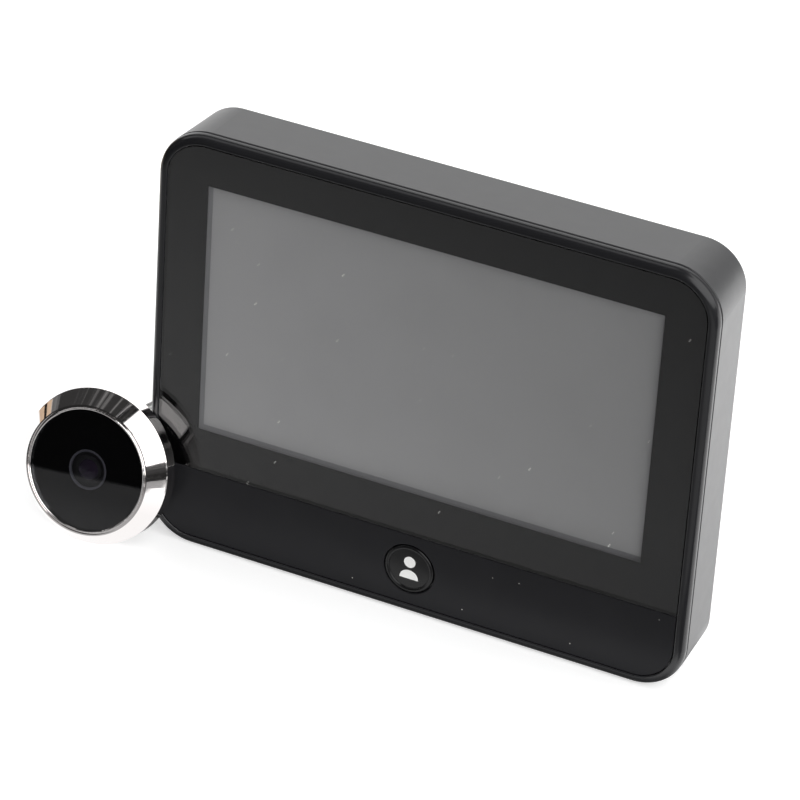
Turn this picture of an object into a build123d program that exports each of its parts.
from build123d import *
import math
import os

# A peephole door camera: an indoor monitor and the door camera that goes through the door.
# Millimetres and degrees. The monitor faces -Y, +Z is up, and its base is centred on the origin.
# A depth is measured from the face of the display glass towards the back, along +Y.

# Monitor housing. Its outer sizes follow, further down, from the window, the cells and the margins
front_corner_radius = 10.2
back_corner_radius = 9.0
draft_inset = 1.0
side_wall = 2.0
back_wall = 1.6
back_edge_radius = 0.5
shell_rim_chamfer = 0.2
base_trim = 0.04
overrun = 1.0

# Front frame
bead_width = 2.05
bead_proud = 0.15
bead_inner_radius = 0.3
bead_flat_width = 0.1
parting_depth = 2.25
parting_groove_width = 0.35
parting_groove_height = 0.45
lip_clearance = 0.2
lip_thickness = 1.0
lip_height = 1.5
hook_spacing = 60.0
hook_width = 8.0
hook_reach = 3.2
hook_nose_height = 0.7
hook_nose_length = 1.0
hook_clearance = 0.3

# Display stack, from the glass back
glass_thickness = 0.95
glass_gap = 0.15
print_gap = 0.02
print_thickness = 0.08
window_width = 96.0
window_height = 54.9
window_margin_side = 8.65
window_margin_above = 8.45
window_margin_below = 9.15
foam_thickness = 0.2
foam_width = 3.0
lcd_border_side = 4.75
lcd_border_top = 6.15
lcd_depth = 2.4
lcd_tray_wall = 0.3
lcd_opening_margin = 1.0
lcd_recess = 1.1
lcd_panel_thickness = 0.7
lcd_fit_gap = 0.15
active_inset_side = 0.48
active_inset_top = 0.52
film_thickness = 0.12
lcd_clearance = 0.25

# Lower trim and view button
seam_z = 18.2
seam_gap = 0.2
trim_edge_radius = 0.2
button_radius = 5.3
button_hole_clearance = 0.25
button_rim_width = 0.95
button_dish_depth = 0.35
button_travel = 0.5
button_flange_width = 0.9
button_flange_thickness = 0.6
button_flange_gap = 0.2
button_stem_radius = 1.5
button_stem_length = 2.55
plunger_radius = 1.7
plunger_length = 1.4
plunger_running_gap = 0.05
switch_size = 6.2
switch_thickness = 3.5
switch_corner_radius = 0.6
plunger_stand_out = 0.8

# Button board
button_board_width = 24.0
button_board_height = 12.0
button_post_inset = 3.0

# Main board
board_thickness = 1.2
board_depth = 6.0
board_height = 35.0
board_side_gap = 2.85
board_bay_gap = 7.9
board_top_margin = 6.4
board_post_inset = 3.5
post_radius = 2.3
post_pilot_radius = 0.8
post_pilot_depth = 5.0
screw_gap = 0.05
board_hole_radius = 1.1
board_screw_head_radius = 1.7
board_screw_head_height = 0.9
board_screw_length = 4.5
chip_size = 12.0
chip_thickness = 1.3
chip_edge_chamfer = 0.12
memory_width = 9.0
memory_height = 6.0
memory_thickness = 1.0
chip_rise = 7.0
chip_side_margin = 13.5

# Ribbon socket and its recess in the back
socket_width = 13.0
socket_height = 4.6
socket_depth = 4.2
socket_slot_width = 10.6
socket_slot_height = 1.4
socket_slot_depth = 2.6
socket_drop = 6.0
recess_width = 18.0
recess_height = 10.0
recess_wall = 1.2
recess_board_gap = 0.4
recess_corner_radius = 1.2

# Battery bay, cells and contacts
cell_radius = 5.25
cell_length = 44.5
cell_nub_radius = 1.9
cell_nub_length = 1.0
cell_end_radius = 0.5
cell_count = 4
cell_gap = 0.4
bay_side_gap = 0.3
bay_lcd_gap = 0.2
bay_floor_thickness = 0.6
bay_floor_gap = 0.1
bay_door_gap = 0.2
bay_wall = 1.6
bay_side_margin = 6.65
bay_bottom_z = 22.2
cradle_rib_width = 1.2
cradle_rib_height = 1.5
contact_thickness = 0.4
contact_width = 7.0
contact_height = 5.8
spring_length = 4.4
spring_radius = 2.8
spring_wire_radius = 0.3
spring_pitch = 1.15
spring_seat_gap = 0.03

# Battery door
door_thickness = 1.4
door_overlap = 1.0
door_gap = 0.25
door_seat_gap = 0.05
door_corner_radius = 1.5
door_grip_count = 5
door_grip_length = 12.0
door_grip_width = 0.9
door_grip_pitch = 2.0
door_grip_depth = 0.4
door_grip_margin = 3.0
tab_width = 3.4
tab_reach = 1.7
tab_thickness = 1.5
tab_gap = 0.25
tab_neck_width = 1.3
tab_swing_gap = 0.5

# Wall bracket slots in the back
slot_side_margin = 23.85
slot_top_margin = 11.9
slot_length = 12.0
slot_width = 4.8
slot_pocket_depth = 6.2
slot_pocket_wall = 1.2

# Speaker and its grille
speaker_radius = 14.0
speaker_centre_z = 32.0
speaker_flange_thickness = 1.0
speaker_flange_width = 2.2
speaker_basket_draw = 2.3
speaker_basket_depth = 3.2
speaker_wall = 0.7
cone_thickness = 0.25
cone_neck_radius = 4.2
magnet_radius = 7.0
magnet_thickness = 2.6
magnet_edge_chamfer = 0.35
speaker_seat_height = 0.8
speaker_seat_width = 1.6
grille_slot_width = 1.3
grille_slot_pitch = 3.0
grille_slot_count = 7
grille_margin = 1.9

# Stiffening ribs on the inside of the back
rib_thickness = 1.0
rib_height = 1.6
rib_speaker_gap = 2.6

# Shell screws
shell_screw_side_margin = 8.85
shell_screw_z = 8.5
shell_screw_radius = 1.1
shell_screw_head_radius = 2.3
shell_screw_head_height = 1.6
shell_screw_clearance = 0.3
shell_screw_bite = 3.5
shell_boss_radius = 3.3
shell_counterbore_clearance = 0.4
shell_counterbore_depth = 3.4
frame_boss_radius = 2.6
frame_boss_end_depth = 7.0

# Door camera head, measured back from the face of its glass
head_radius = 16.15
head_edge_chamfer = 0.3
head_glass_radius = 12.45
head_glass_thickness = 1.0
head_glass_gap = 0.08
lip_ring_width = 0.4
lip_ring_proud = 0.12
head_groove_width = 0.3
head_groove_depth = 0.4
head_land_width = 0.25
cone_depth = 3.75
cone_rim_width = 0.15
cone_rim_depth = 0.2
head_seat_width = 0.9
head_back_wall = 1.3
gasket_recess_depth = 0.6
gasket_thickness = 0.9
gasket_width = 5.2
gasket_edge_width = 1.0
gasket_fit_gap = 0.05
head_print_gap = 0.02
head_print_thickness = 0.08
head_window_radius = 4.2
window_ring_width = 0.45
window_ring_depth = 0.5
core_depth = 3.9
core_gap = 0.1
core_flange_gap = 0.23
core_skirt = 1.05
sensor_board_thickness = 0.8
sensor_size = 6.0
sensor_thickness = 0.5
lens_holder_size = 9.2
lens_holder_depth = 2.2
lens_barrel_radius = 2.9
lens_barrel_front = 1.35
lens_fit_gap = 0.05
front_lens_radius = 2.1
front_lens_thickness = 0.5
front_lens_bulge = 0.35
holder_pocket_gap = 0.2
head_socket_width = 6.4
head_socket_height = 3.0
head_socket_depth = 1.8

# Threaded stem
stem_radius = 6.9
stem_bore_radius = 4.9
stem_length = 34.95
stem_end_chamfer = 0.6
stem_neck_step = 0.2
stem_flange_width = 1.7
stem_flange_thickness = 1.1
stem_fit_gap = 0.05
stem_mouth_step = 0.5
stem_mouth_depth = 1.9

# Where the door camera lies beside the monitor
head_side_offset = 8.09
head_face_to_glass = 10.9
head_turn_angle = 0.7

# Sizes and places that follow from the ones above, from the glass back
lcd_width = window_width + 2 * lcd_border_side
lcd_height = window_height + 2 * lcd_border_top
housing_width = window_width + 2 * (window_margin_side + glass_gap + bead_width)
housing_height = (
    seam_z + window_margin_below + window_height + window_margin_above + glass_gap + bead_width
)
window_centre_z = seam_z + window_margin_below + window_height / 2
ledge_depth = glass_thickness + print_gap + print_thickness
lcd_front_depth = ledge_depth + foam_thickness
lcd_back_depth = lcd_front_depth + lcd_depth
panel_depth = lcd_front_depth + lcd_recess
bay_floor_depth = lcd_back_depth + bay_lcd_gap
cell_depth = bay_floor_depth + bay_floor_thickness + bay_floor_gap + cell_radius
door_front_depth = cell_depth + cell_radius + bay_door_gap
back_depth = door_front_depth + door_thickness
inner_back_depth = back_depth - back_wall
housing_depth = bead_proud + back_depth
face_y = bead_proud - housing_depth / 2
recess_radius = front_corner_radius - bead_width
bay_length = cell_length + spring_length + 2 * contact_thickness
bay_left_x = bay_side_margin - housing_width / 2
bay_right_x = bay_left_x + bay_length
cell_pitch = 2 * cell_radius + cell_gap
bay_height = cell_count * cell_pitch - cell_gap + 2 * bay_side_gap
bay_centre_x = bay_right_x - bay_length / 2
bay_centre_z = bay_bottom_z + bay_height / 2
first_cell_z = bay_bottom_z + bay_side_gap + cell_radius
door_width = bay_length + 2 * door_overlap
door_height = bay_height + 2 * door_overlap
door_edge_x = bay_right_x + door_overlap
board_left_x = bay_right_x + bay_wall + board_bay_gap
board_right_x = housing_width / 2 - side_wall - board_side_gap
board_width = board_right_x - board_left_x
board_centre_x = (board_left_x + board_right_x) / 2
board_centre_z = housing_height - board_top_margin - board_height / 2
board_post_spacing_x = board_width - 2 * board_post_inset
board_post_spacing_z = board_height - 2 * board_post_inset
slot_spacing = housing_width - 2 * slot_side_margin
slot_centre_z = housing_height - slot_top_margin
shell_screw_spacing = housing_width - 2 * shell_screw_side_margin
button_centre_z = (bead_width + glass_gap + seam_z) / 2
button_flange_radius = button_radius + button_flange_width
button_post_spacing = button_board_width - 2 * button_post_inset
button_inner_depth = ledge_depth + button_flange_gap / 2
switch_front_depth = (
    button_inner_depth + button_flange_thickness + button_stem_length + plunger_stand_out
)
button_board_depth = switch_front_depth + switch_thickness
speaker_front_depth = inner_back_depth - speaker_seat_height
speaker_centre_x = board_centre_x
speaker_basket_radius = speaker_radius - speaker_flange_width - speaker_basket_draw
grille_radius = speaker_radius - speaker_seat_width - grille_margin
rib_bottom_z = speaker_centre_z + speaker_radius + rib_speaker_gap
stem_flange_radius = stem_radius + stem_flange_width
stem_mouth_radius = stem_bore_radius + stem_mouth_step
glass_seat_back = head_glass_thickness + head_print_gap + head_print_thickness
head_depth = (
    glass_seat_back + core_depth + core_flange_gap + stem_flange_thickness + head_back_wall
)
parts_folder = "parts"
os.makedirs(parts_folder, exist_ok=True)


def deep(depth):
    """The plane at one depth, with X to the right, Z up and its normal to the front."""
    return Plane.XZ.offset(-(face_y + depth))


def from_behind(depth):
    """The same plane seen from the back, for holes drilled towards the front."""
    return Plane(origin=(0, face_y + depth, 0), x_dir=(-1, 0, 0), z_dir=(0, 1, 0))


def glass_outline():
    """What the glass and the trim below it fill together, inside the bead."""
    with BuildSketch() as outline:
        with Locations((0, housing_height / 2)):
            RectangleRounded(
                housing_width - 2 * bead_width - 2 * glass_gap,
                housing_height - 2 * bead_width - 2 * glass_gap,
                recess_radius - glass_gap,
            )
    return outline.sketch


def axis_section(x, z):
    """A plane for turned pieces: across is the radius from x, z and up is the depth."""
    return Plane(origin=(x, face_y, z))


def axis_at(x, z):
    return Axis((x, face_y, z), (0, 1, 0))


def shell_section(depth, inset):
    """The tapering shell's outline at one depth, drawn in by inset. Its base stays level, and is
    drawn a little low, so that one cut trims it flat."""
    taper_share = (depth - parting_depth) / (back_depth - parting_depth)
    narrowing = taper_share * draft_inset
    top = housing_height - narrowing - inset
    base = inset - base_trim
    radius = front_corner_radius + taper_share * (back_corner_radius - front_corner_radius)
    with BuildSketch(deep(depth)) as section:
        with Locations((0, (top + base) / 2)):
            RectangleRounded(
                housing_width - 2 * narrowing - 2 * inset, top - base, radius - inset
            )
    return section.sketch


def hand_over(builder, name):
    """Label a finished piece and write it to its own file."""
    builder.part.label = name
    export_step(builder.part, f"{parts_folder}/{name}.step")


# Front frame: the black bead round the glass, the ledge behind it, the lip that goes into
# the shell, two hooks at the top and two screw bosses at the bottom
with BuildPart() as front_frame:
    with BuildSketch(deep(-bead_proud)):
        with Locations((0, housing_height / 2)):
            RectangleRounded(housing_width, housing_height, front_corner_radius)
    extrude(amount=-(bead_proud + parting_depth))
    fillet(
        front_frame.faces().sort_by(Axis.Y)[0].edges(),
        bead_width - bead_inner_radius - bead_flat_width,
    )
    with BuildSketch(deep(-bead_proud)):
        with Locations((0, housing_height / 2)):
            RectangleRounded(
                housing_width - 2 * bead_width, housing_height - 2 * bead_width, recess_radius
            )
    extrude(amount=-(bead_proud + ledge_depth), mode=Mode.SUBTRACT)
    inner_loop = front_frame.faces().sort_by(Axis.Y)[0].inner_wires()[0]
    fillet(inner_loop.edges(), bead_inner_radius)
    with BuildSketch(deep(ledge_depth)):
        with Locations((0, window_centre_z)):
            Rectangle(lcd_width + 2 * lcd_clearance, lcd_height + 2 * lcd_clearance)
        with Locations((0, button_centre_z)):
            Circle(button_flange_radius + button_hole_clearance)
    extrude(amount=-(parting_depth - ledge_depth), mode=Mode.SUBTRACT)
    with BuildSketch(deep(parting_depth - parting_groove_height)):
        with Locations((0, housing_height / 2)):
            RectangleRounded(
                housing_width + 2 * overrun, housing_height + 2 * overrun, front_corner_radius
            )
            RectangleRounded(
                housing_width - 2 * parting_groove_width,
                housing_height - 2 * parting_groove_width,
                front_corner_radius - parting_groove_width,
                mode=Mode.SUBTRACT,
            )
    extrude(amount=-(parting_groove_height + overrun), mode=Mode.SUBTRACT)
    lip_inset = side_wall + lip_clearance
    with BuildSketch(deep(parting_depth)):
        with Locations((0, housing_height / 2)):
            RectangleRounded(
                housing_width - 2 * lip_inset,
                housing_height - 2 * lip_inset,
                front_corner_radius - lip_inset,
            )
            RectangleRounded(
                housing_width - 2 * (lip_inset + lip_thickness),
                housing_height - 2 * (lip_inset + lip_thickness),
                front_corner_radius - lip_inset - lip_thickness,
                mode=Mode.SUBTRACT,
            )
    extrude(amount=-lip_height)
    hook_top_z = housing_height - lip_inset
    with BuildSketch(deep(parting_depth)):
        with GridLocations(hook_spacing, 0, 2, 1):
            with Locations((0, hook_top_z)):
                Rectangle(hook_width, lip_thickness, align=(Align.CENTER, Align.MAX))
    extrude(amount=-hook_reach)
    with BuildSketch(deep(parting_depth + hook_reach - hook_nose_length)):
        with GridLocations(hook_spacing, 0, 2, 1):
            with Locations((0, hook_top_z)):
                Rectangle(hook_width, hook_nose_height, align=(Align.CENTER, Align.MIN))
    extrude(amount=-hook_nose_length)
    with BuildSketch(deep(parting_depth)):
        with Locations((0, shell_screw_z)):
            with GridLocations(shell_screw_spacing, 0, 2, 1):
                Circle(frame_boss_radius)
    extrude(amount=-(frame_boss_end_depth - parting_depth))
    with Locations(from_behind(frame_boss_end_depth)):
        with Locations((0, shell_screw_z)):
            with GridLocations(shell_screw_spacing, 0, 2, 1):
                Hole(shell_screw_radius + screw_gap, shell_screw_bite)
hand_over(front_frame, "front_frame")

# Display glass, with the black print and its window behind it
with BuildPart() as display_glass:
    with BuildSketch(deep(0)):
        add(glass_outline())
        with Locations((0, seam_z)):
            Rectangle(
                housing_width, housing_height, align=(Align.CENTER, Align.MIN), mode=Mode.INTERSECT
            )
    extrude(amount=-glass_thickness)
hand_over(display_glass, "display_glass")

with BuildPart() as glass_print:
    with BuildSketch(deep(glass_thickness + print_gap)):
        add(glass_outline())
        with Locations((0, seam_z)):
            Rectangle(
                housing_width, housing_height, align=(Align.CENTER, Align.MIN), mode=Mode.INTERSECT
            )
        with Locations((0, window_centre_z)):
            Rectangle(window_width, window_height, mode=Mode.SUBTRACT)
    extrude(amount=-print_thickness)
hand_over(glass_print, "glass_print")

# Matt strip below the glass, with the hole for the button
with BuildPart() as lower_trim:
    with BuildSketch(deep(0)):
        add(glass_outline())
        with Locations((0, seam_z - seam_gap)):
            Rectangle(
                housing_width, housing_height, align=(Align.CENTER, Align.MAX), mode=Mode.INTERSECT
            )
        with Locations((0, button_centre_z)):
            Circle(button_radius + button_hole_clearance, mode=Mode.SUBTRACT)
    extrude(amount=-ledge_depth)
    fillet(lower_trim.faces().sort_by(Axis.Y)[0].edges(), trim_edge_radius)
hand_over(lower_trim, "lower_trim")

# Display module: foam ring, sheet steel tray, cell, front film and light box
with BuildPart() as lcd_foam:
    with BuildSketch(deep(ledge_depth)):
        with Locations((0, window_centre_z)):
            Rectangle(window_width + 2 * foam_width, window_height + 2 * foam_width)
            Rectangle(
                window_width + lcd_opening_margin,
                window_height + lcd_opening_margin,
                mode=Mode.SUBTRACT,
            )
    extrude(amount=-foam_thickness)
hand_over(lcd_foam, "lcd_foam")

with BuildPart() as lcd_tray:
    with BuildSketch(deep(lcd_front_depth)):
        with Locations((0, window_centre_z)):
            Rectangle(lcd_width, lcd_height)
    extrude(amount=-lcd_depth)
    with BuildSketch(deep(lcd_front_depth + lcd_tray_wall)):
        with Locations((0, window_centre_z)):
            Rectangle(lcd_width - 2 * lcd_tray_wall, lcd_height - 2 * lcd_tray_wall)
    extrude(amount=-(lcd_depth - lcd_tray_wall), mode=Mode.SUBTRACT)
    with BuildSketch(deep(lcd_front_depth)):
        with Locations((0, window_centre_z)):
            Rectangle(window_width + lcd_opening_margin, window_height + lcd_opening_margin)
    extrude(amount=-lcd_tray_wall, mode=Mode.SUBTRACT)
hand_over(lcd_tray, "lcd_tray")

lcd_inner_width = lcd_width - 2 * lcd_tray_wall - 2 * lcd_fit_gap
lcd_inner_height = lcd_height - 2 * lcd_tray_wall - 2 * lcd_fit_gap
with BuildPart() as lcd_panel:
    with BuildSketch(deep(panel_depth)):
        with Locations((0, window_centre_z)):
            Rectangle(lcd_inner_width, lcd_inner_height)
    extrude(amount=-lcd_panel_thickness)
hand_over(lcd_panel, "lcd_panel")

with BuildPart() as lcd_film:
    with BuildSketch(deep(panel_depth - film_thickness)):
        with Locations((0, window_centre_z)):
            Rectangle(
                window_width - 2 * active_inset_side, window_height - 2 * active_inset_top
            )
    extrude(amount=-film_thickness)
hand_over(lcd_film, "lcd_film")

with BuildPart() as lcd_light_box:
    with BuildSketch(deep(panel_depth + lcd_panel_thickness)):
        with Locations((0, window_centre_z)):
            Rectangle(lcd_inner_width, lcd_inner_height)
    extrude(amount=-(lcd_back_depth - panel_depth - lcd_panel_thickness))
hand_over(lcd_light_box, "lcd_light_box")

# Rear shell: a thin drafted box, open at the front, with everything moulded into it
bay_outer_width = bay_length + 2 * bay_wall
bay_outer_height = bay_height + 2 * bay_wall
cell_places = [first_cell_z + index * cell_pitch for index in range(cell_count)]
tab_places = [(cell_places[0] + cell_places[1]) / 2, (cell_places[-2] + cell_places[-1]) / 2]
tab_foot_depth = inner_back_depth - tab_gap
tab_swing_radius = math.hypot(tab_reach, back_depth - tab_foot_depth + tab_thickness)
recess_centre_z = board_centre_z - socket_drop
with BuildPart() as rear_shell:
    loft(
        sections=[
            shell_section(parting_depth, shell_rim_chamfer),
            shell_section(parting_depth + shell_rim_chamfer, 0),
            shell_section(back_depth, 0),
        ],
        ruled=True,
    )
    fillet(rear_shell.faces().sort_by(Axis.Y)[-1].edges(), back_edge_radius)
    split(bisect_by=Plane.XY, keep=Keep.TOP)
    loft(
        sections=[
            shell_section(parting_depth, side_wall),
            shell_section(inner_back_depth, side_wall),
        ],
        ruled=True,
        mode=Mode.SUBTRACT,
    )
    # Cross ribs that stiffen the back, clear of the bay and the recesses
    with BuildSketch(deep(inner_back_depth - rib_height)):
        with Locations((board_centre_x, rib_bottom_z)):
            Rectangle(board_width, rib_thickness)
        with Locations((board_centre_x - board_width / 2, (rib_bottom_z + side_wall) / 2)):
            Rectangle(rib_thickness, rib_bottom_z - side_wall)
    extrude(amount=-rib_height)
    # Battery bay: floor and four walls
    with BuildSketch(deep(bay_floor_depth)):
        with Locations((bay_centre_x, bay_centre_z)):
            Rectangle(bay_outer_width, bay_outer_height)
    extrude(amount=-(inner_back_depth - bay_floor_depth))
    with BuildSketch(deep(bay_floor_depth + bay_floor_thickness)):
        with Locations((bay_centre_x, bay_centre_z)):
            Rectangle(bay_length, bay_height)
    extrude(amount=-(back_depth - bay_floor_depth), mode=Mode.SUBTRACT)
    with BuildSketch(deep(bay_floor_depth + bay_floor_thickness)):
        for lower_cell_z in cell_places[:-1]:
            with Locations((bay_centre_x, lower_cell_z + cell_pitch / 2)):
                Rectangle(cell_length - 2 * spring_length, cradle_rib_width)
    extrude(amount=-cradle_rib_height)
    # Opening for the battery door, and the notches for its two pivot tabs
    with BuildSketch(deep(door_front_depth - door_seat_gap)):
        with Locations((bay_centre_x, bay_centre_z)):
            RectangleRounded(
                door_width + 2 * door_gap, door_height + 2 * door_gap, door_corner_radius + door_gap
            )
    extrude(amount=-(door_thickness + door_seat_gap + overrun), mode=Mode.SUBTRACT)
    with BuildSketch(deep(back_depth - tab_swing_radius - tab_swing_gap)):
        for tab_z in tab_places:
            with Locations((bay_right_x - overrun, tab_z)):
                Rectangle(
                    bay_wall + overrun, tab_width + tab_swing_gap, align=(Align.MIN, Align.CENTER)
                )
    extrude(amount=-(tab_swing_radius + tab_swing_gap - door_thickness), mode=Mode.SUBTRACT)
    # Pockets behind the two bracket slots
    pocket_front_depth = back_depth - slot_pocket_depth
    with BuildSketch(deep(pocket_front_depth - slot_pocket_wall)):
        with Locations((0, slot_centre_z)):
            with GridLocations(slot_spacing, 0, 2, 1):
                SlotOverall(slot_length + 2 * slot_pocket_wall, slot_width + 2 * slot_pocket_wall)
    extrude(amount=-(slot_pocket_depth + slot_pocket_wall - back_wall))
    with BuildSketch(deep(pocket_front_depth)):
        with Locations((0, slot_centre_z)):
            with GridLocations(slot_spacing, 0, 2, 1):
                SlotOverall(slot_length, slot_width)
    extrude(amount=-(slot_pocket_depth + overrun), mode=Mode.SUBTRACT)
    # Recess for the camera's ribbon plug
    recess_front_depth = board_depth + board_thickness + recess_board_gap
    with BuildSketch(deep(recess_front_depth)):
        with Locations((board_centre_x, recess_centre_z)):
            RectangleRounded(
                recess_width + 2 * recess_wall,
                recess_height + 2 * recess_wall,
                recess_corner_radius + recess_wall,
            )
    extrude(amount=-(inner_back_depth - recess_front_depth))
    with BuildSketch(deep(recess_front_depth)):
        with Locations((board_centre_x, recess_centre_z)):
            RectangleRounded(recess_width, recess_height, recess_corner_radius)
    extrude(amount=-(back_depth - recess_front_depth + overrun), mode=Mode.SUBTRACT)
    # Posts for the main board
    board_back_depth = board_depth + board_thickness
    with BuildSketch(deep(board_back_depth)):
        with Locations((board_centre_x, board_centre_z)):
            with GridLocations(board_post_spacing_x, board_post_spacing_z, 2, 2):
                Circle(post_radius)
    extrude(amount=-(inner_back_depth - board_back_depth))
    with Locations(deep(board_back_depth)):
        with Locations((board_centre_x, board_centre_z)):
            with GridLocations(board_post_spacing_x, board_post_spacing_z, 2, 2):
                Hole(post_pilot_radius, post_pilot_depth)
    # Posts for the button board
    button_board_back_depth = button_board_depth + board_thickness
    with BuildSketch(deep(button_board_back_depth)):
        with Locations((0, button_centre_z)):
            with GridLocations(button_post_spacing, 0, 2, 1):
                Circle(post_radius)
    extrude(amount=-(inner_back_depth - button_board_back_depth))
    with Locations(deep(button_board_back_depth)):
        with Locations((0, button_centre_z)):
            with GridLocations(button_post_spacing, 0, 2, 1):
                Hole(post_pilot_radius, inner_back_depth - button_board_back_depth - back_wall)
    # Ring seat for the speaker, and the grille of slots over it
    with BuildSketch(deep(speaker_front_depth)):
        with Locations((speaker_centre_x, speaker_centre_z)):
            Circle(speaker_radius)
            Circle(speaker_radius - speaker_seat_width, mode=Mode.SUBTRACT)
    extrude(amount=-speaker_seat_height)
    with BuildSketch(deep(inner_back_depth)):
        for index in range(grille_slot_count):
            rise = (index - (grille_slot_count - 1) / 2) * grille_slot_pitch
            with Locations((speaker_centre_x, speaker_centre_z + rise)):
                SlotOverall(2 * math.sqrt(grille_radius**2 - rise**2), grille_slot_width)
    extrude(amount=-(back_wall + overrun), mode=Mode.SUBTRACT)
    # Screw bosses, counterbored from the back
    with BuildSketch(deep(frame_boss_end_depth)):
        with Locations((0, shell_screw_z)):
            with GridLocations(shell_screw_spacing, 0, 2, 1):
                Circle(shell_boss_radius)
    extrude(amount=-(inner_back_depth - frame_boss_end_depth))
    with Locations(from_behind(back_depth)):
        with Locations((0, shell_screw_z)):
            with GridLocations(shell_screw_spacing, 0, 2, 1):
                CounterBoreHole(
                    shell_screw_radius + shell_screw_clearance,
                    shell_screw_head_radius + shell_counterbore_clearance,
                    shell_counterbore_depth,
                    back_depth - frame_boss_end_depth,
                )
    # Pockets in the top wall that the frame's hooks snap into
    hook_end_depth = parting_depth + hook_reach
    with BuildSketch(deep(hook_end_depth - hook_nose_length - hook_clearance)):
        with GridLocations(hook_spacing, 0, 2, 1):
            with Locations((0, hook_top_z - lip_clearance)):
                Rectangle(
                    hook_width + 2 * hook_clearance,
                    lip_clearance + hook_nose_height + hook_clearance,
                    align=(Align.CENTER, Align.MIN),
                )
    extrude(amount=-(hook_nose_length + 2 * hook_clearance), mode=Mode.SUBTRACT)
hand_over(rear_shell, "rear_shell")

# Shell screws, driven in from the back
screw_seat_depth = back_depth - shell_counterbore_depth
with BuildPart() as shell_screws:
    with BuildSketch(deep(screw_seat_depth)):
        with Locations((0, shell_screw_z)):
            with GridLocations(shell_screw_spacing, 0, 2, 1):
                Circle(shell_screw_head_radius)
    extrude(amount=-shell_screw_head_height)
    with BuildSketch(deep(screw_seat_depth)):
        with Locations((0, shell_screw_z)):
            with GridLocations(shell_screw_spacing, 0, 2, 1):
                Circle(shell_screw_radius)
    extrude(amount=screw_seat_depth - frame_boss_end_depth + shell_screw_bite - screw_gap)
hand_over(shell_screws, "shell_screws")

# Main board and what is soldered to it
with BuildPart() as main_board:
    with BuildSketch(deep(board_depth)):
        with Locations((board_centre_x, board_centre_z)):
            Rectangle(board_width, board_height)
            with GridLocations(board_post_spacing_x, board_post_spacing_z, 2, 2):
                Circle(board_hole_radius, mode=Mode.SUBTRACT)
    extrude(amount=-board_thickness)
hand_over(main_board, "main_board")

with BuildPart() as processor_chip:
    with BuildSketch(deep(board_back_depth)):
        with Locations((board_left_x + chip_side_margin, board_centre_z + chip_rise)):
            Rectangle(chip_size, chip_size)
    extrude(amount=-chip_thickness)
    chamfer(processor_chip.faces().sort_by(Axis.Y)[-1].edges(), chip_edge_chamfer)
hand_over(processor_chip, "processor_chip")

with BuildPart() as memory_chip:
    with BuildSketch(deep(board_back_depth)):
        with Locations((board_right_x - chip_side_margin, board_centre_z + chip_rise)):
            Rectangle(memory_width, memory_height)
    extrude(amount=-memory_thickness)
hand_over(memory_chip, "memory_chip")

with BuildPart() as ribbon_socket:
    with BuildSketch(deep(board_back_depth)):
        with Locations((board_centre_x, recess_centre_z)):
            Rectangle(socket_width, socket_height)
    extrude(amount=-socket_depth)
    with BuildSketch(deep(board_back_depth + socket_depth - socket_slot_depth)):
        with Locations((board_centre_x, recess_centre_z)):
            Rectangle(socket_slot_width, socket_slot_height)
    extrude(amount=-socket_slot_depth, mode=Mode.SUBTRACT)
hand_over(ribbon_socket, "ribbon_socket")

# Button board and its switch
with BuildPart() as button_board:
    with BuildSketch(deep(button_board_depth)):
        with Locations((0, button_centre_z)):
            Rectangle(button_board_width, button_board_height)
            with GridLocations(button_post_spacing, 0, 2, 1):
                Circle(board_hole_radius, mode=Mode.SUBTRACT)
    extrude(amount=-board_thickness)
hand_over(button_board, "button_board")

with BuildPart() as switch_body:
    with BuildSketch(deep(switch_front_depth)):
        with Locations((0, button_centre_z)):
            RectangleRounded(switch_size, switch_size, switch_corner_radius)
    extrude(amount=-switch_thickness)
    with BuildSketch(deep(switch_front_depth)):
        with Locations((0, button_centre_z)):
            Circle(plunger_radius + plunger_running_gap)
    extrude(amount=-(plunger_length - plunger_stand_out + 2 * button_travel), mode=Mode.SUBTRACT)
hand_over(switch_body, "switch_body")

# Small screws that hold both boards to their posts
with BuildPart() as board_screws:
    for seat_depth, centre_x, centre_z, spacing_x, spacing_z, rows in (
        (board_depth, board_centre_x, board_centre_z, board_post_spacing_x, board_post_spacing_z, 2),
        (button_board_depth, 0, button_centre_z, button_post_spacing, 0, 1),
    ):
        with BuildSketch(deep(seat_depth)):
            with Locations((centre_x, centre_z)):
                with GridLocations(spacing_x, spacing_z, 2, rows):
                    Circle(board_screw_head_radius)
        extrude(amount=board_screw_head_height)
        with BuildSketch(deep(seat_depth)):
            with Locations((centre_x, centre_z)):
                with GridLocations(spacing_x, spacing_z, 2, rows):
                    Circle(post_pilot_radius - screw_gap)
        extrude(amount=-(board_screw_length - board_screw_head_height))
hand_over(board_screws, "board_screws")

# Speaker: flanged steel frame, paper cone and magnet
basket_end_depth = speaker_front_depth - speaker_flange_thickness - speaker_basket_depth
with BuildPart() as speaker_frame:
    with BuildSketch(axis_section(speaker_centre_x, speaker_centre_z)):
        with BuildLine():
            Polyline(
                (speaker_radius - speaker_flange_width, speaker_front_depth),
                (speaker_radius, speaker_front_depth),
                (speaker_radius, speaker_front_depth - speaker_flange_thickness),
                (speaker_radius - speaker_flange_width, speaker_front_depth - speaker_flange_thickness),
                (speaker_basket_radius, basket_end_depth),
                (cone_neck_radius, basket_end_depth),
                (cone_neck_radius, basket_end_depth + speaker_wall),
                (speaker_basket_radius - speaker_wall, basket_end_depth + speaker_wall),
                close=True,
            )
        make_face()
    revolve(axis=axis_at(speaker_centre_x, speaker_centre_z))
hand_over(speaker_frame, "speaker_frame")

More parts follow.
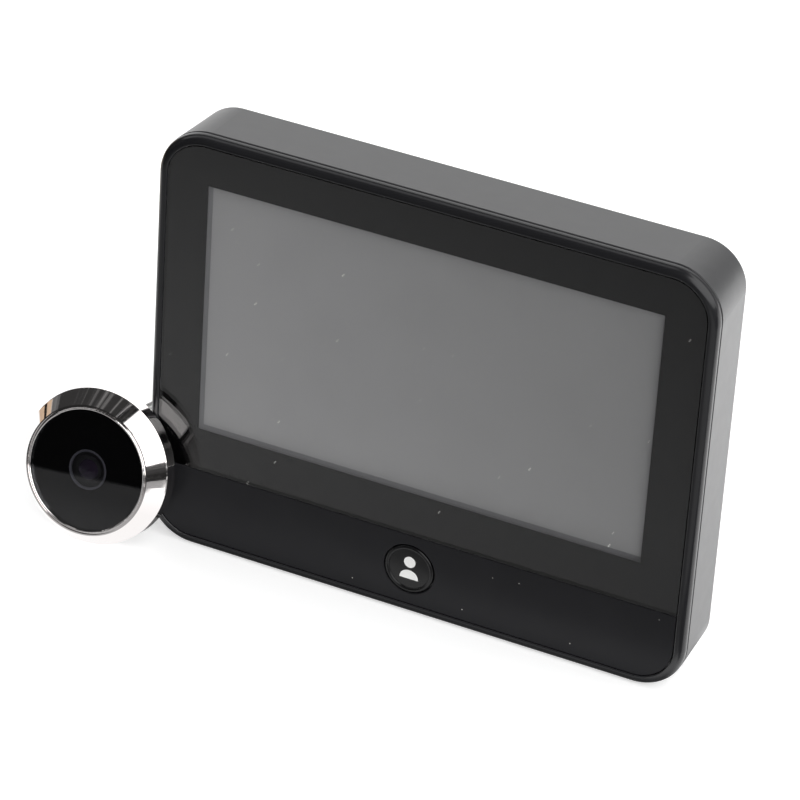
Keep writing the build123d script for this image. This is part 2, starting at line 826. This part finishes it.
with BuildPart() as speaker_cone:
    cone_edge_radius = speaker_radius - speaker_flange_width - cone_thickness
    cone_slope = (speaker_basket_depth - speaker_wall) / (cone_edge_radius - cone_neck_radius)
    with BuildSketch(axis_section(speaker_centre_x, speaker_centre_z)):
        with BuildLine():
            Polyline(
                (cone_edge_radius, speaker_front_depth - cone_thickness),
                (cone_edge_radius, speaker_front_depth),
                (cone_edge_radius - cone_thickness, speaker_front_depth),
                (cone_neck_radius, speaker_front_depth - cone_slope * cone_neck_radius),
                (0, speaker_front_depth - cone_thickness),
                (0, speaker_front_depth - 2 * cone_thickness),
                (cone_neck_radius, speaker_front_depth - cone_slope * cone_neck_radius - cone_thickness),
                close=True,
            )
        make_face()
    revolve(axis=axis_at(speaker_centre_x, speaker_centre_z))
hand_over(speaker_cone, "speaker_cone")

with BuildPart() as speaker_magnet:
    with BuildSketch(deep(basket_end_depth)):
        with Locations((speaker_centre_x, speaker_centre_z)):
            Circle(magnet_radius)
    extrude(amount=magnet_thickness)
    chamfer(speaker_magnet.edges().filter_by(GeomType.CIRCLE), magnet_edge_chamfer)
hand_over(speaker_magnet, "speaker_magnet")

# Battery cells, turned end for end from one to the next
bay_left_face_x = bay_left_x + contact_thickness
bay_right_face_x = bay_right_x - contact_thickness
for index, cell_z in enumerate(cell_places):
    points_left = index % 2 == 1
    tip_x = bay_left_face_x if points_left else bay_right_face_x
    inward = 1 if points_left else -1
    cell_plane = Plane(
        origin=(tip_x, face_y + cell_depth, cell_z), x_dir=(0, 0, 1), z_dir=(0, inward, 0)
    )
    with BuildPart() as battery_cell:
        with BuildSketch(cell_plane):
            with BuildLine():
                Polyline(
                    (0, 0),
                    (cell_nub_radius, 0),
                    (cell_nub_radius, cell_nub_length),
                    (cell_radius, cell_nub_length),
                    (cell_radius, cell_length),
                    (0, cell_length),
                    close=True,
                )
            make_face()
        revolve(axis=Axis((tip_x, face_y + cell_depth, cell_z), (1, 0, 0)))
        body_edges = battery_cell.edges().filter_by(GeomType.CIRCLE)
        can_edges = body_edges.filter_by(lambda edge: 2 * edge.radius > cell_radius + cell_nub_radius)
        fillet(can_edges, cell_end_radius)
    hand_over(battery_cell, f"battery_cell_{index + 1}")

# Sheet contacts: a strip bridges two cells, and single ones end the chain
bridge_height = cell_pitch + contact_width
with BuildPart() as battery_contacts:
    with BuildSketch(deep(cell_depth - contact_height / 2)):
        for lower in range(0, cell_count - 1, 2):
            with Locations((bay_left_x, cell_places[lower] + cell_pitch / 2)):
                Rectangle(contact_thickness, bridge_height, align=(Align.MIN, Align.CENTER))
        for lower in range(1, cell_count - 2, 2):
            with Locations((bay_right_x, cell_places[lower] + cell_pitch / 2)):
                Rectangle(contact_thickness, bridge_height, align=(Align.MAX, Align.CENTER))
        for end_z in (cell_places[0], cell_places[-1]):
            with Locations((bay_right_x, end_z)):
                Rectangle(contact_thickness, contact_width, align=(Align.MAX, Align.CENTER))
    extrude(amount=-contact_height)
hand_over(battery_contacts, "battery_contacts")

# Coil springs that push each cell against its far contact, one wound wire each
spring_rise = spring_length - 2 * spring_wire_radius - 2 * spring_seat_gap
with BuildPart() as battery_springs:
    for index, cell_z in enumerate(cell_places):
        outward = 1 if index % 2 == 1 else -1
        seat_x = bay_right_face_x if index % 2 == 1 else bay_left_face_x
        start_x = seat_x - outward * (spring_wire_radius + spring_seat_gap)
        with BuildLine() as spring_path:
            Helix(
                pitch=spring_pitch,
                height=spring_rise,
                radius=spring_radius,
                center=(start_x, face_y + cell_depth, cell_z),
                direction=(-outward, 0, 0),
            )
        spring_line = spring_path.wires()[0]
        with BuildSketch(Plane(origin=spring_line @ 0, z_dir=spring_line % 0)):
            Circle(spring_wire_radius)
        sweep(path=spring_line, is_frenet=True)
hand_over(battery_springs, "battery_springs")
spring_gap = spring_pitch * math.cos(math.atan(spring_pitch / (2 * math.pi * spring_radius)))
print("spring self gap", round(spring_gap - 2 * spring_wire_radius, 3))
print("spring turns", round(cell_count * spring_rise / spring_pitch, 1))

# Battery door: a flush plate with grip grooves, which pivots on two hooked tabs
with BuildPart() as battery_door:
    with BuildSketch(deep(door_front_depth)):
        with Locations((bay_centre_x, bay_centre_z)):
            RectangleRounded(door_width, door_height, door_corner_radius)
    extrude(amount=-door_thickness)
    with BuildSketch(deep(back_depth - door_grip_depth)):
        grip_span = (door_grip_count - 1) * door_grip_pitch
        grip_x = bay_left_x - door_overlap + door_grip_margin + grip_span / 2
        with Locations((grip_x, bay_centre_z)):
            with GridLocations(door_grip_pitch, 0, door_grip_count, 1):
                SlotOverall(door_grip_length, door_grip_width, rotation=90)
    extrude(amount=-(door_grip_depth + overrun), mode=Mode.SUBTRACT)
    neck_left_x = bay_right_x - contact_thickness
    with BuildSketch(deep(tab_foot_depth - tab_thickness)):
        for tab_z in tab_places:
            with Locations((neck_left_x, tab_z)):
                Rectangle(tab_neck_width, tab_width, align=(Align.MIN, Align.CENTER))
    extrude(amount=-(door_front_depth - tab_foot_depth + tab_thickness))
    with BuildSketch(deep(tab_foot_depth - tab_thickness)):
        for tab_z in tab_places:
            with Locations((neck_left_x, tab_z)):
                Rectangle(
                    door_edge_x + tab_reach - neck_left_x, tab_width, align=(Align.MIN, Align.CENTER)
                )
    extrude(amount=-tab_thickness)
hand_over(battery_door, "battery_door")

# View button: a dished cap with a raised round rim, held behind the trim by its flange
dish_radius = button_radius - button_rim_width
with BuildPart() as button_cap:
    with BuildSketch(axis_section(0, button_centre_z)):
        with BuildLine():
            Line((0, button_dish_depth - bead_proud), (dish_radius, button_dish_depth - bead_proud))
            ThreePointArc(
                (dish_radius, button_dish_depth - bead_proud),
                (dish_radius + button_rim_width / 2, -bead_proud),
                (button_radius, button_dish_depth - bead_proud),
            )
            Polyline(
                (button_radius, button_dish_depth - bead_proud),
                (button_radius, button_inner_depth),
                (button_flange_radius, button_inner_depth),
                (button_flange_radius, button_inner_depth + button_flange_thickness),
                (button_stem_radius, button_inner_depth + button_flange_thickness),
                (button_stem_radius, switch_front_depth - plunger_stand_out),
                (0, switch_front_depth - plunger_stand_out),
                (0, button_dish_depth - bead_proud),
            )
        make_face()
    revolve(axis=axis_at(0, button_centre_z))
hand_over(button_cap, "button_cap")

with BuildPart() as switch_plunger:
    with BuildSketch(deep(switch_front_depth - plunger_stand_out)):
        with Locations((0, button_centre_z)):
            Circle(plunger_radius)
    extrude(amount=-plunger_length)
hand_over(switch_plunger, "switch_plunger")

# The door camera rests on the rim of its head and on the end of its stem, which sets its tilt
rim_contact_back = head_depth - head_edge_chamfer
stem_contact_back = head_depth + stem_length - stem_end_chamfer
tilt_angle = math.degrees(
    math.atan2(head_radius - stem_radius, stem_contact_back - rim_contact_back)
)
tilt_sine = math.sin(math.radians(tilt_angle))
tilt_cosine = math.cos(math.radians(tilt_angle))
turn_sine = math.sin(math.radians(head_turn_angle))
turn_cosine = math.cos(math.radians(head_turn_angle))
head_centre_z = rim_contact_back * tilt_sine + head_radius * tilt_cosine
head_centre = (-housing_width / 2 - head_side_offset, face_y - head_face_to_glass, head_centre_z)
head_across = Vector(turn_cosine, turn_sine, 0)
head_normal = Vector(turn_sine * tilt_cosine, -turn_cosine * tilt_cosine, tilt_sine)
head_face = Plane(origin=head_centre, x_dir=head_across, z_dir=head_normal)
head_section = Plane(
    origin=head_centre, x_dir=head_across, z_dir=head_across.cross(head_normal)
)
head_axis = Axis(head_centre, head_normal)
print("door camera tilt", round(tilt_angle, 2), "face centre", [round(v, 2) for v in head_centre])


def behind(distance):
    """The plane across the door camera at a distance behind the face of its glass."""
    return head_face.offset(-distance)


# Head ring: chrome, with a thin lip round the glass, a groove, a wide cone and a short wall
glass_seat_radius = head_glass_radius + head_glass_gap
lip_outer_radius = glass_seat_radius + lip_ring_width
cone_inner_radius = lip_outer_radius + head_groove_width
core_radius = head_glass_radius - head_seat_width
stem_seat_back = head_depth - head_back_wall
gasket_outer_radius = head_radius - gasket_edge_width
gasket_inner_radius = gasket_outer_radius - gasket_width
stem_neck_radius = stem_radius + stem_neck_step
stem_hole_radius = stem_neck_radius + stem_fit_gap
with BuildPart() as head_ring:
    with BuildSketch(head_section):
        with BuildLine():
            Line((glass_seat_radius, -glass_seat_back), (glass_seat_radius, 0))
            ThreePointArc(
                (glass_seat_radius, 0),
                (glass_seat_radius + lip_ring_width / 2, lip_ring_proud),
                (lip_outer_radius, 0),
            )
            Polyline(
                (lip_outer_radius, 0),
                (lip_outer_radius, -head_groove_depth),
                (cone_inner_radius, -head_groove_depth),
                (cone_inner_radius, 0),
                (cone_inner_radius + head_land_width, 0),
                (head_radius - cone_rim_width, -cone_depth),
                (head_radius, -cone_depth - cone_rim_depth),
                (head_radius, -rim_contact_back),
                (head_radius - head_edge_chamfer, -head_depth),
                (gasket_outer_radius, -head_depth),
                (gasket_outer_radius, -(head_depth - gasket_recess_depth)),
                (gasket_inner_radius, -(head_depth - gasket_recess_depth)),
                (gasket_inner_radius, -head_depth),
                (stem_hole_radius, -head_depth),
                (stem_hole_radius, -stem_seat_back),
                (core_radius, -stem_seat_back),
                (core_radius, -glass_seat_back),
                (glass_seat_radius, -glass_seat_back),
            )
        make_face()
    revolve(axis=head_axis)
hand_over(head_ring, "head_ring")

with BuildPart() as head_gasket:
    with BuildSketch(behind(head_depth - gasket_recess_depth)):
        Circle(gasket_outer_radius - gasket_fit_gap)
        Circle(gasket_inner_radius + gasket_fit_gap, mode=Mode.SUBTRACT)
    extrude(amount=-gasket_thickness)
hand_over(head_gasket, "head_gasket")

# Round black glass of the head, its print and the ring of its lens window
with BuildPart() as head_glass:
    with BuildSketch(head_face):
        Circle(head_glass_radius)
    extrude(amount=-head_glass_thickness)
hand_over(head_glass, "head_glass")

with BuildPart() as head_print:
    with BuildSketch(behind(head_glass_thickness + head_print_gap)):
        Circle(head_glass_radius)
        Circle(head_window_radius, mode=Mode.SUBTRACT)
    extrude(amount=-head_print_thickness)
hand_over(head_print, "head_print")

with BuildPart() as lens_window_ring:
    with BuildSketch(behind(head_glass_thickness + head_print_gap)):
        Circle(head_window_radius - lens_fit_gap)
        Circle(head_window_radius - window_ring_width, mode=Mode.SUBTRACT)
    extrude(amount=-window_ring_depth)
hand_over(lens_window_ring, "lens_window_ring")

# Black core that carries the lens and the sensor board behind the glass
holder_front_back = glass_seat_back + core_depth - sensor_board_thickness - lens_holder_depth
board_front_back = glass_seat_back + core_depth - sensor_board_thickness
with BuildPart() as head_core:
    with BuildSketch(behind(glass_seat_back)):
        Circle(core_radius - core_gap)
        Circle(head_window_radius, mode=Mode.SUBTRACT)
    extrude(amount=-core_depth)
    with BuildSketch(behind(holder_front_back - holder_pocket_gap)):
        pocket_size = lens_holder_size + 2 * holder_pocket_gap
        Rectangle(pocket_size, pocket_size)
    extrude(amount=-(glass_seat_back + core_depth), mode=Mode.SUBTRACT)
    with BuildSketch(behind(board_front_back)):
        Circle(core_radius - core_skirt)
    extrude(amount=-(sensor_board_thickness + overrun), mode=Mode.SUBTRACT)
hand_over(head_core, "head_core")

sensor_board_radius = core_radius - core_gap - core_skirt
with BuildPart() as sensor_board:
    with BuildSketch(behind(board_front_back)):
        Circle(sensor_board_radius)
    extrude(amount=-sensor_board_thickness)
hand_over(sensor_board, "sensor_board")

with BuildPart() as image_sensor:
    with BuildSketch(behind(board_front_back - sensor_thickness)):
        Rectangle(sensor_size, sensor_size)
    extrude(amount=-sensor_thickness)
hand_over(image_sensor, "image_sensor")

with BuildPart() as lens_holder:
    with BuildSketch(behind(holder_front_back)):
        Rectangle(lens_holder_size, lens_holder_size)
        Circle(lens_barrel_radius + lens_fit_gap, mode=Mode.SUBTRACT)
    extrude(amount=-lens_holder_depth)
    with BuildSketch(behind(board_front_back - 2 * sensor_thickness)):
        Rectangle(sensor_size + 2 * core_gap, sensor_size + 2 * core_gap)
    extrude(amount=-2 * sensor_thickness, mode=Mode.SUBTRACT)
hand_over(lens_holder, "lens_holder")

with BuildPart() as lens_barrel:
    with BuildSketch(behind(lens_barrel_front)):
        Circle(lens_barrel_radius)
    extrude(amount=-(board_front_back - 2 * sensor_thickness - lens_barrel_front))
    with BuildSketch(behind(lens_barrel_front)):
        Circle(front_lens_radius + lens_fit_gap)
    extrude(amount=-front_lens_thickness, mode=Mode.SUBTRACT)
hand_over(lens_barrel, "lens_barrel")

with BuildPart() as front_lens:
    with BuildSketch(head_section):
        lens_back = lens_barrel_front + front_lens_thickness
        lens_edge = lens_barrel_front + lens_fit_gap
        with BuildLine():
            TangentArc((0, front_lens_bulge - lens_edge), (front_lens_radius, -lens_edge), tangent=(1, 0))
            Polyline(
                (front_lens_radius, -lens_edge),
                (front_lens_radius, -lens_back),
                (0, -lens_back),
                (0, front_lens_bulge - lens_edge),
            )
        make_face()
    revolve(axis=head_axis)
hand_over(front_lens, "front_lens")

with BuildPart() as head_socket:
    with BuildSketch(behind(glass_seat_back + core_depth)):
        Rectangle(head_socket_width, head_socket_height)
    extrude(amount=-head_socket_depth)
hand_over(head_socket, "head_socket")

# Hollow threaded stem, whose flange sits inside the head ring and whose neck fills its hole
with BuildPart() as threaded_stem:
    with BuildSketch(behind(stem_seat_back)):
        Circle(stem_neck_radius)
    extrude(amount=-head_back_wall)
    with BuildSketch(behind(head_depth)):
        Circle(stem_radius)
    extrude(amount=-stem_length)
    chamfer(
        threaded_stem.edges().filter_by(GeomType.CIRCLE).sort_by(head_axis)[0], stem_end_chamfer
    )
    with BuildSketch(behind(stem_seat_back - stem_flange_thickness)):
        Circle(stem_flange_radius)
    extrude(amount=-stem_flange_thickness)
    with Locations(behind(stem_seat_back - stem_flange_thickness)):
        CounterBoreHole(stem_bore_radius, stem_mouth_radius, stem_mouth_depth)
hand_over(threaded_stem, "threaded_stem")
